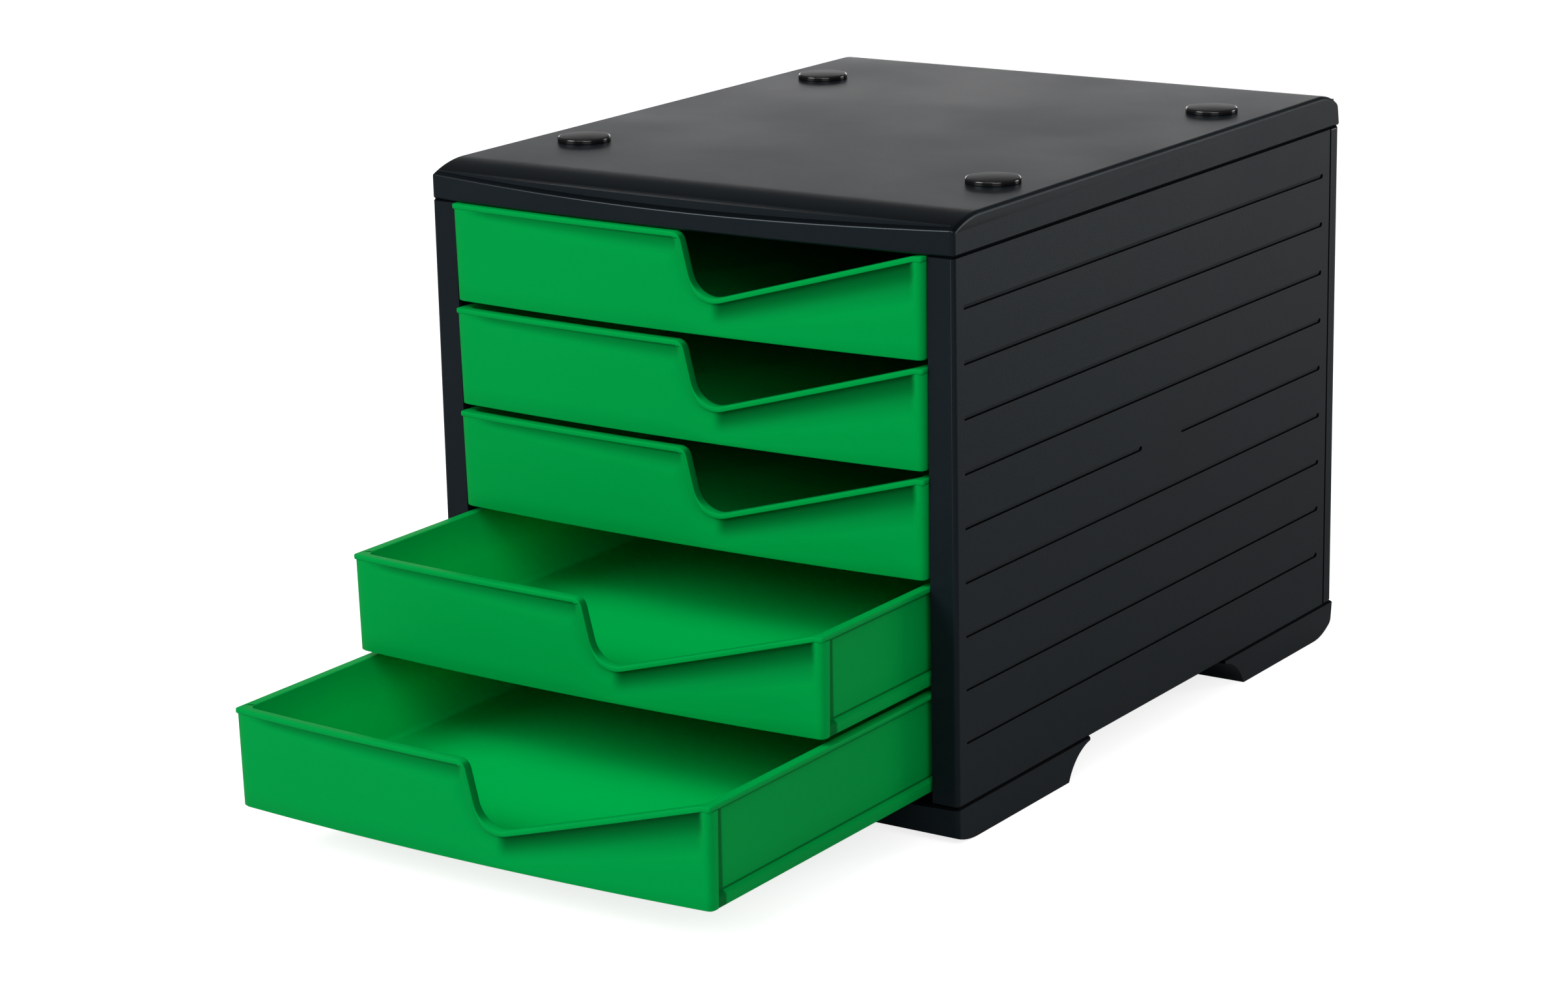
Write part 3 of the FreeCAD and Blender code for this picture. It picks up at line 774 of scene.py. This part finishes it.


# how far the finger cove sinks the front at a point, and how much painted shade the point gets there
def coveDepthAt(shape, path, x, z, around):
    away, edgeX = nearestOnPath(path, x, z, around)
    away = max(0.0, away - shape["rimThickness"])
    growth = min(1.0, max(0.0, (x - shape["coveFade"]) / (shape["coveFull"] - shape["coveFade"])))
    reach = shape["coveReach"] * (shape["coveLeast"] + (1 - shape["coveLeast"]) * growth)
    underRim = shape["height"] - shape["rimThickness"] - z
    ends = smoothStep((shape["notchStart"] - x) / shape["coveLeftRunOut"])
    starts = smoothStep((x - shape["coveRightStart"]) / shape["coveRunOut"])
    starts *= smoothStep((shape["coveRightEnd"] - x) / shape["coveRunOut"])
    besideSteep = 1.0 if shape["notchStart"] - 4 < edgeX < shape["coveRightStart"] + 6 else 0.0
    steepShare = shape["coveOnSteep"] / shape["coveDepth"] * besideSteep
    leftPaintedShade = drawerPaintedShading["left"] * smoothStep(growth * drawerPaintedShading["growth"]) * ends
    hold = drawerPaintedShading["hold"]
    coves = (  # distance below the edge, reach, share of the full depth and painted shade, for each stretch
        (underRim, reach, growth * ends, leftPaintedShade),
        (away, reach, growth * starts, starts),
        (away, shape["steepReach"], steepShare, drawerPaintedShading["besideSteep"] * besideSteep),
    )
    depth, paintedShading = 0.0, 0.0
    for below, span, full, dark in coves:
        depth = max(depth, shape["coveDepth"] * full * coveProfile(shape, below, span))
        paintedShading = max(paintedShading, dark * (1 - smoothStep((below / span - hold) / (1 - hold))))
    return depth, paintedShading


# outer face of the front wall, which leans in at its foot and turns round its upright corners
def bodyFaceY(shape, x, z):
    inset = shape["lean"] * (1 - z / shape["height"])
    half, corner = shape["rimHalf"], shape["frontCorner"]
    centreX = half - corner
    radius = corner - inset
    tilt = centreX / (frontBow - corner)
    if abs(x) > centreX + radius * tilt:
        across = min(abs(x) - centreX, radius * 0.9999)  # never quite at the side
        return cornerCentreY(shape, half, corner) - math.sqrt(radius ** 2 - across ** 2)
    return bowedY(shape["frontMiddle"], x, inset)


# keeps x up to `free` and maps the rest, up to `full`, onto what is left before `limit`
def squeeze(x, free, limit, full):
    size = abs(x)
    if size > free:
        size = free + (size - free) * (limit - free) / (full - free)
    return math.copysign(size, x)


# quarter round of an edge, whose faces lead along `inward` and `out`
def roundedEdge(edge, inward, out, radius, angles):
    points = []
    for angle in angles:
        turn = math.radians(angle)
        points.append(edge + inward * radius * (1 - math.sin(turn)) - out * radius * (1 - math.cos(turn)))
    return points


# A station is a place along the drawer's wall. Its "outer" and "inner" are the edges of the rim there,
# "innerFoot" is where the inside meets the floor, "wall" runs down the outside, "down" leads into the
# wall from the rim, and "outDir" and "inDir" lead out of it and into the tray.


# one section of the wall, from the inside of the floor over the rim to the underside
def sectionPoints(shape, station):
    inner, outer, foot, wall = (station[name] for name in ("inner", "outer", "innerFoot", "wall"))
    intoWall, outDir, inDir = (station[name] for name in ("down", "outDir", "inDir"))
    fillet, innerRound = shape["floorFillet"], shape["innerRound"]
    points = []
    for angle in (0, 22.5, 45, 67.5, 90):  # fillet between floor and wall
        turn = math.radians(angle)
        points.append(foot + inDir * fillet * (1 - math.sin(turn)) + up * (fillet * (1 - math.cos(turn))))
    points.append((foot + up * fillet).lerp(inner + intoWall * innerRound, 0.5))
    points += roundedEdge(inner, intoWall, inDir, innerRound, (0, 30, 60, 90))
    points += roundedEdge(outer, intoWall, outDir, shape["edgeRound"], (90, 60, 30, 0))
    thick, lowRound = station.get("thick", shape["rimThickness"]), station["lowRound"]
    for angle in (0, 45, 90):  # lower edge of the rim
        turn = math.radians(angle)
        below = intoWall * (thick - lowRound * (1 - math.sin(turn)))
        points.append(outer + below - outDir * lowRound * (1 - math.cos(turn)))
    return points + wall


# rounds the foot of a wall whose outer face looks along `outward`
def roundFoot(shape, wall, outward):
    radius = shape["footRound"]
    foot = wall[-1]
    wall.append(Vector((foot.x, foot.y, radius * footLow)) - outward * radius * footLow)
    wall.append(Vector((foot.x, foot.y, 0)) - outward * radius)


# shares of the way from the rim's underside to the foot at which a section of the front has points
def frontShares(shape, span):
    shares = [min(level / span, coveShare) for level in coveLevels]
    if span < shortWall:
        shares = [max(share, level / shortWall) for share, level in zip(shares, coveLevels)]
    last = shares[-1]
    lowShare = 1 - shape["footRound"] / span
    rest = wallLevels - len(coveLevels)
    return shares + [last + (lowShare - last) * (index + 1) / rest for index in range(rest)]


def frontStations(shape):
    path = sweptPath(shape)
    lengths = [0.0]
    for (a, _), (b, _) in zip(path, path[1:]):
        lengths.append(lengths[-1] + (b - a).length)
    reachX = shape["rimHalf"] - shape["rimCorner"]
    cavityStraight = shape["cavityHalf"] - shape["cavityCorner"]
    innerMiddle = shape["frontMiddle"] + shape["frontWall"]
    footRound = shape["footRound"]
    stations = []
    for around, ((point, inward), length) in enumerate(zip(path, lengths)):
        footX = -reachX + 2 * reachX * length / lengths[-1]
        innerX = squeeze(point.x, shape["rimStraight"], cavityStraight, reachX)
        innerFootX = squeeze(footX, shape["floorStraight"], cavityStraight, reachX)
        steep = smoothStep((-inward.x - 0.5) / 0.35)  # 1 on the steep side of the cut-out
        thick = shape["rimThickness"] * (1 - shape["steepThin"] * steep)
        under = point + inward * thick
        foot = Vector((footX, 0.0))
        wall, paintedShadings = [], []
        for share in frontShares(shape, (foot - under).length):
            at = under.lerp(foot, share)
            # the cove sinks the face and gets painted shade
            sunk, paintedShading = coveDepthAt(shape, path, at.x, at.y, around)
            wall.append(Vector((at.x, bodyFaceY(shape, at.x, at.y) + sunk, at.y)))
            paintedShadings.append(paintedShading)
        footY = bodyFaceY(shape, footX, 0)
        wall.append(Vector((footX, footY + footRound * footLow, footRound * footLow)))
        wall.append(Vector((footX, footY + footRound, 0)))
        stations.append({
            "outer": Vector((point.x, bowedY(shape["frontMiddle"], point.x), point.y)),
            "inner": Vector((innerX, bowedY(innerMiddle, innerX), edgeHeight(path, innerX, point.y))),
            "innerFoot": Vector((innerFootX, bowedY(innerMiddle, innerFootX), shape["floor"])),
            "outDir": Vector((0, -1, 0)), "inDir": Vector((0, 1, 0)),
            "down": Vector((inward.x, 0, inward.y)), "lowRound": shape["frontLowRound"],
            "thick": thick, "wall": wall,
            "paintedShadings": paintedShadings + [0.0, 0.0],
            # painted highlight on the rim's top, turning to painted shade on the steep edge of the cut-out
            "edgePaintedShading": drawerPaintedShading["edge"] + (drawerPaintedShading["steep"] - drawerPaintedShading["edge"]) * steep,
        })
    return stations


# upright front corner, from the bow round to the side
def cornerStations(shape, side):
    path = sweptPath(shape)
    rimX = shape["rimHalf"] - shape["rimCorner"]
    rimY = cornerCentreY(shape, shape["rimHalf"], shape["rimCorner"])
    rimCentre = Vector((side * rimX, rimY, shape["height"]))
    cavityX = shape["cavityHalf"] - shape["cavityCorner"]
    cavityY = bowedY(shape["frontMiddle"] + shape["frontWall"], cavityX, shape["cavityCorner"])
    centreX = shape["rimHalf"] - shape["frontCorner"]
    centreY = cornerCentreY(shape, shape["rimHalf"], shape["frontCorner"])
    rounding = shape["sideLowRound"] - shape["frontLowRound"]
    stations = []
    for step in range(1, cornerSteps + 1):
        share = step / cornerSteps
        angle = math.radians(90 * step / cornerSteps)
        outDir = Vector((side * math.sin(angle), -math.cos(angle), 0))
        innerFoot = Vector((side * cavityX, cavityY, shape["floor"])) + outDir * shape["cavityCorner"]
        wall = []
        for z in wallHeights(shape):
            radius = shape["frontCorner"] - shape["lean"] * (1 - z / shape["height"])
            first = math.asin(min(1.0, (rimX - centreX) / radius))
            turned = first + (math.pi / 2 - first) * share
            across = centreX + radius * math.sin(turned)
            wall.append(Vector((side * across, centreY - radius * math.cos(turned), z)))
        start = math.asin((rimX - centreX) / shape["frontCorner"])
        bodyAngle = start + (math.pi / 2 - start) * share
        roundFoot(shape, wall, Vector((side * math.sin(bodyAngle), -math.cos(bodyAngle), 0)))
        stations.append({
            "outer": rimCentre + outDir * shape["rimCorner"],
            "inner": Vector((innerFoot.x, innerFoot.y, edgeHeight(path, innerFoot.x, shape["height"]))),
            "innerFoot": innerFoot, "down": down, "outDir": outDir, "inDir": -outDir,
            "lowRound": shape["frontLowRound"] + rounding * share, "wall": wall,
        })
    return stations


# heights of a side wall's points from the rim down; lineRows and railRow count along them
def wallHeights(shape):
    under = shape["height"] - shape["rimThickness"]
    railFoot = shape["railHeight"] - shape["railWidth"]
    heights = [under - level for level in sideLevels]
    heights += [shape["railHeight"] + level for level in railLevels]
    return heights + [railFoot, railFoot - 0.3, shape["footRound"]]


# outer side of a straight wall with its foot rail, at a point of the plan
def sideWall(shape, at, outward, wallLine, railOut):
    heights = wallHeights(shape)
    outs = [0.0] * len(heights)
    if railOut:
        line = -shape["lineDepth"]
        outs[railRow:] = (line, line, shape["railLip"], railOut, railOut, railOut)
    wall = [Vector((at.x, at.y, z)) + outward * (wallLine + out) for z, out in zip(heights, outs)]
    roundFoot(shape, wall, outward)
    return wall


# places along a side, with the kind of wall there: the front's return, the side or its bare rear end
def sidePlaces(shape, returnY):
    width, fade = drawerPaintedShading["lineWidth"], drawerPaintedShading["lineFade"]
    lineEnd, railBack = returnY + width, shape["railBack"]
    places = [(returnY - shape["returnDrop"], "front"), (returnY, "front"), (returnY + 0.02, "side")]
    places += [(returnY + (width - fade), "side"), (lineEnd, "side")]
    for index in range(sideSteps):
        places.append((lineEnd + (railBack - lineEnd) * (index + 1) / sideSteps, "side"))
    return places + [(railBack + 0.05, "bare")]


# straight side from the front corner to the rear one
def sideStations(shape, side):
    outward = Vector((side, 0, 0))
    returnY = bowedY(shape["frontMiddle"], shape["rimHalf"]) + shape["frontReturn"]
    innerStart = cornerCentreY(shape, shape["rimHalf"], shape["frontCorner"]) + shape["innerStart"]
    line, lineFade = drawerPaintedShading["line"], drawerPaintedShading["lineFade"]
    stations = []
    for y, kind in sidePlaces(shape, returnY):
        if kind == "front":
            wall = []
            for z in wallHeights(shape):
                inset = shape["lean"] * (1 - z / shape["height"])
                fall = shape["returnDrop"] if y == returnY else 0
                wall.append(Vector((side * (shape["rimHalf"] - inset - fall), y, z)))
            roundFoot(shape, wall, outward)
            paintedShadings = [0.0] * len(wall)
        else:  # fine lines of painted shade behind the corner, under the rim and above the rail
            railOut = shape["railWidth"] if kind == "side" else 0
            wall = sideWall(shape, Vector((0, y, 0)), outward, shape["sideHalf"], railOut)
            toEnd = drawerPaintedShading["lineWidth"] - (y - returnY)
            paintedShadings = [line * smoothStep(toEnd / lineFade)] * len(wall)
            for row in lineRows:
                paintedShadings[row] = line
        stations.append({
            "outer": Vector((side * shape["rimHalf"], y, shape["height"])),
            "inner": Vector((side * shape["cavityHalf"], max(y, innerStart), shape["height"])),
            "innerFoot": Vector((side * shape["cavityHalf"], max(y, innerStart), shape["floor"])),
            "down": down, "outDir": outward, "inDir": -outward, "lowRound": shape["sideLowRound"],
            "wall": wall, "paintedShadings": paintedShadings,
        })
    return stations


def rearCornerStations(shape, side):
    rimX, rimY = shape["rimHalf"] - shape["rimCorner"], shape["rimBack"] - shape["rimCorner"]
    cavityX = shape["cavityHalf"] - shape["cavityCorner"]
    cavityY = shape["cavityBack"] - shape["cavityCorner"]
    rounding = shape["rearRound"]
    corner = Vector((side * (shape["sideHalf"] - rounding), shape["wallBack"] - rounding, 0))
    stations = []
    for step in range(cornerSteps + 1):
        angle = math.radians(90 * step / cornerSteps)
        outDir = Vector((side * math.cos(angle), math.sin(angle), 0))
        innerFoot = Vector((side * cavityX, cavityY, shape["floor"])) + outDir * shape["cavityCorner"]
        stations.append({
            "outer": Vector((side * rimX, rimY, shape["height"])) + outDir * shape["rimCorner"],
            "inner": Vector((innerFoot.x, innerFoot.y, shape["height"])),
            "innerFoot": innerFoot, "down": down, "outDir": outDir, "inDir": -outDir,
            "lowRound": shape["sideLowRound"], "wall": sideWall(shape, corner, outDir, rounding, 0),
        })
    return stations


# box that stands out under the rim near its rear end and meets the stop of the runner
def addStopTab(shape, side, points, faces):
    root, tip = shape["sideHalf"] - shape["tabRoot"], shape["sideHalf"] + shape["tabWidth"]
    x0, x1 = sorted((side * root, side * tip))
    y1, z1 = shape["rimBack"] - shape["tabInset"], shape["tabTop"]
    y0, z0 = y1 - shape["tabLength"], z1 - shape["tabHeight"]
    start = len(points)
    points += [Vector((x, y, z)) for z in (z0, z1) for y in (y0, y1) for x in (x0, x1)]
    for face in ((0, 2, 3, 1), (4, 5, 7, 6), (0, 1, 5, 4), (2, 6, 7, 3), (0, 4, 6, 2), (1, 3, 7, 5)):
        faces.append([start + corner for corner in face])


def drawerMesh(shape):
    right = cornerStations(shape, 1) + sideStations(shape, 1) + rearCornerStations(shape, 1)
    left = cornerStations(shape, -1) + sideStations(shape, -1) + rearCornerStations(shape, -1)
    loop = frontStations(shape) + right + left[::-1]
    sections = [sectionPoints(shape, station) for station in loop]
    count = len(sections[0])
    points = [point for section in sections for point in section]
    # painted shading for each point: painted light inside the tray, a painted highlight or painted shade on
    # the rim's top, and painted shade on the outer wall
    paintedShadings = []
    for station in loop:
        inWall = station.get("paintedShadings", [0.0] * len(station["wall"]))
        paintedShadings += [drawerPaintedShading["inner"]] * innerRows
        paintedShadings += [station.get("edgePaintedShading", drawerPaintedShading["edge"])] * edgeRows
        paintedShadings += [0.0] * (count - innerRows - edgeRows - len(inWall)) + inWall
    faces = gridFaces(len(sections), count, True)
    faces.append([index * count for index in range(len(sections))][::-1])  # floor
    faces.append([index * count + count - 1 for index in range(len(sections))])  # underside
    for side in (-1, 1):
        addStopTab(shape, side, points, faces)
    mesh = freshMesh("drawerTray", points, faces)
    paintedShadings += [0.0] * (len(points) - len(paintedShadings))
    mesh.attributes.new("paintedShading", "FLOAT", "POINT").data.foreach_set("value", paintedShadings)
    closeMesh(mesh)
    smoothShading(mesh, shape["sharp"])
    return mesh


drawerBodies = ["drawer_1", "drawer_2", "drawer_3", "drawer_4", "drawer_5"]  # from the top
pulledOut = [between(boxInMm(body)[0][1], trayLow[1]) for body in drawerBodies]
rackShape = {"firstFloor": trayLow[2], "pitch": between(boxInMm("drawer_2")[0][2], trayLow[2])}


# node group that takes a mesh and the named inputs given, and returns a mesh
def patternTree(name, inputs):
    tree = bpy.data.node_groups.new(name, "GeometryNodeTree")
    newSocket = tree.interface.new_socket
    newSocket("Geometry", in_out="INPUT", socket_type="NodeSocketGeometry")
    for socket, kind in inputs.items():
        newSocket(socket, in_out="INPUT", socket_type="NodeSocket" + kind)
    newSocket("Geometry", in_out="OUTPUT", socket_type="NodeSocketGeometry")
    return tree, tree.nodes.new("NodeGroupInput"), tree.nodes.new("NodeGroupOutput")


# sets the incoming mesh on each point, makes the copies real and gives them their finish
def setAndPaint(tree, entry, points):
    link = tree.links.new
    instance = tree.nodes.new("GeometryNodeInstanceOnPoints")
    link(points, instance.inputs["Points"])
    link(entry.outputs["Geometry"], instance.inputs["Instance"])
    realize = tree.nodes.new("GeometryNodeRealizeInstances")
    link(instance.outputs[0], realize.inputs[0])
    paint = tree.nodes.new("GeometryNodeSetMaterial")
    link(realize.outputs[0], paint.inputs["Geometry"])
    link(entry.outputs["Finish"], paint.inputs["Material"])
    return paint.outputs[0]


# places the drawer mesh in its row of the rack
def rackTree():
    tree, entry, leave = patternTree("drawerRack", {
        "Row": "Int", "First floor": "Float", "Pitch": "Float",
        "Front": "Float", "Pulled out": "Float", "Finish": "Material",
    })
    link = tree.links.new
    drop = mathNode(tree, "MULTIPLY", entry.outputs["Row"], entry.outputs["Pitch"])
    height = mathNode(tree, "SUBTRACT", entry.outputs["First floor"], drop)
    reach = mathNode(tree, "SUBTRACT", entry.outputs["Front"], entry.outputs["Pulled out"])
    offset = tree.nodes.new("ShaderNodeCombineXYZ")
    link(reach, offset.inputs["Y"])
    link(height, offset.inputs["Z"])
    point = tree.nodes.new("GeometryNodeMeshLine")
    point.mode = "OFFSET"
    point.inputs["Count"].default_value = 1
    link(offset.outputs[0], point.inputs["Start Location"])
    link(setAndPaint(tree, entry, point.outputs[0]), leave.inputs[0])
    return tree


def setInputs(modifier, values):
    sockets = {}
    for item in modifier.node_group.interface.items_tree:
        if item.item_type == "SOCKET" and item.in_out == "INPUT":
            sockets[item.name] = item.identifier
    for name, value in values.items():
        modifier[sockets[name]] = value


tray = drawerMesh(drawerShape)
rack = rackTree()
for row, (body, reach) in enumerate(zip(drawerBodies, pulledOut)):
    piece = newPiece(body + "_tray", tray.copy())
    modifier = piece.modifiers.new("rack", "NODES")
    modifier.node_group = rack
    setInputs(modifier, {
        "Row": row, "First floor": rackShape["firstFloor"] * mm, "Pitch": rackShape["pitch"] * mm,
        "Front": boxFront * mm, "Pulled out": reach * mm, "Finish": finishes["satinGreen"],
    })
    bakeModifiers(piece)
    finishPiece(piece, finishes["satinGreen"], "drawer", body, body)
print("drawers are made:", len(tray.polygons), "faces each")


# stacking caps

capShape = {  # mm
    "radius": 12.1, "crown": 2.75, "crownRise": 0.45, "edgeRound": 0.9, "footChamfer": 0.25,
    "base": coverHigh[2], "stem": 4.0, "stemEnd": -3.7, "turns": 72, "edgeTurn": 15, "sharp": 35,
}
capPlaces = {"side": 107.7, "front": -16.35, "rear": 180.45}
crownShares = (0.8, 0.6, 0.4, 0.2, 0)  # places across the crown, from its round to its middle


# half section of a cap, from the end of its stem round the edge to the middle of its crown
def capOutline(shape):
    rise, radius = shape["crownRise"], shape["radius"]
    flat = radius - shape["edgeRound"]
    crownRadius = (flat ** 2 + rise ** 2) / (2 * rise)
    outline = [(0, shape["stemEnd"]), (shape["stem"], shape["stemEnd"]), (shape["stem"], 0)]
    outline += [(radius - shape["footChamfer"], 0), (radius, shape["footChamfer"])]
    for angle in range(0, 91, shape["edgeTurn"]):
        turn = math.radians(angle)
        across = radius - shape["edgeRound"] * (1 - math.cos(turn))
        outline.append((across, shape["crown"] - rise - shape["edgeRound"] * (1 - math.sin(turn))))
    for share in crownShares:
        across = flat * share
        outline.append((across, shape["crown"] - crownRadius + math.sqrt(crownRadius ** 2 - across ** 2)))
    return outline


def capMesh(shape):
    outline = capOutline(shape)
    points, size, turns = [], len(outline), shape["turns"]
    for step in range(turns):
        angle = 2 * math.pi * step / turns
        points += [(radius * math.cos(angle), radius * math.sin(angle), z) for radius, z in outline]
    faces = gridFaces(turns, size, True)
    mesh = freshMesh("cap", points, faces)
    rim = mesh.attributes.new("rim", "BOOLEAN", "FACE")
    for index in range(len(faces)):
        rim.data[index].value = index % (size - 1) < size - 1 - len(crownShares)
    closeMesh(mesh, 1e-7)
    smoothShading(mesh, shape["sharp"])
    return mesh


# sets the cap on the four corners of a rectangle on the cover
def capTree():
    tree, entry, leave = patternTree("capPattern", {
        "Across": "Float", "Along": "Float", "Middle": "Float", "Height": "Float",
        "Finish": "Material", "Rim finish": "Material",
    })
    link = tree.links.new
    grid = tree.nodes.new("GeometryNodeMeshGrid")
    grid.inputs["Vertices X"].default_value = 2
    grid.inputs["Vertices Y"].default_value = 2
    link(entry.outputs["Across"], grid.inputs["Size X"])
    link(entry.outputs["Along"], grid.inputs["Size Y"])
    offset = tree.nodes.new("ShaderNodeCombineXYZ")
    link(entry.outputs["Middle"], offset.inputs["Y"])
    link(entry.outputs["Height"], offset.inputs["Z"])
    lift = tree.nodes.new("GeometryNodeTransform")
    link(grid.outputs["Mesh"], lift.inputs["Geometry"])
    link(offset.outputs[0], lift.inputs["Translation"])
    paint = setAndPaint(tree, entry, lift.outputs[0])
    rim = tree.nodes.new("GeometryNodeInputNamedAttribute")
    rim.data_type = "BOOLEAN"
    rim.inputs["Name"].default_value = "rim"
    paintRim = tree.nodes.new("GeometryNodeSetMaterial")
    link(paint, paintRim.inputs["Geometry"])
    link(rim.outputs["Attribute"], paintRim.inputs["Selection"])
    link(entry.outputs["Rim finish"], paintRim.inputs["Material"])
    link(paintRim.outputs[0], leave.inputs[0])
    return tree


capsPiece = newPiece("stacking_caps_domed", capMesh(capShape))
modifier = capsPiece.modifiers.new("pattern", "NODES")
modifier.node_group = capTree()
setInputs(modifier, {
    "Across": 2 * capPlaces["side"] * mm, "Along": (capPlaces["rear"] - capPlaces["front"]) * mm,
    "Middle": (capPlaces["rear"] + capPlaces["front"]) / 2 * mm, "Height": capShape["base"] * mm,
    "Finish": finishes["satinCap"], "Rim finish": finishes["glossCap"],
})
bakeModifiers(capsPiece)
finishPiece(capsPiece, finishes["glossCap"], "cap", "housing", "stacking_caps")
print("stacking caps are made")
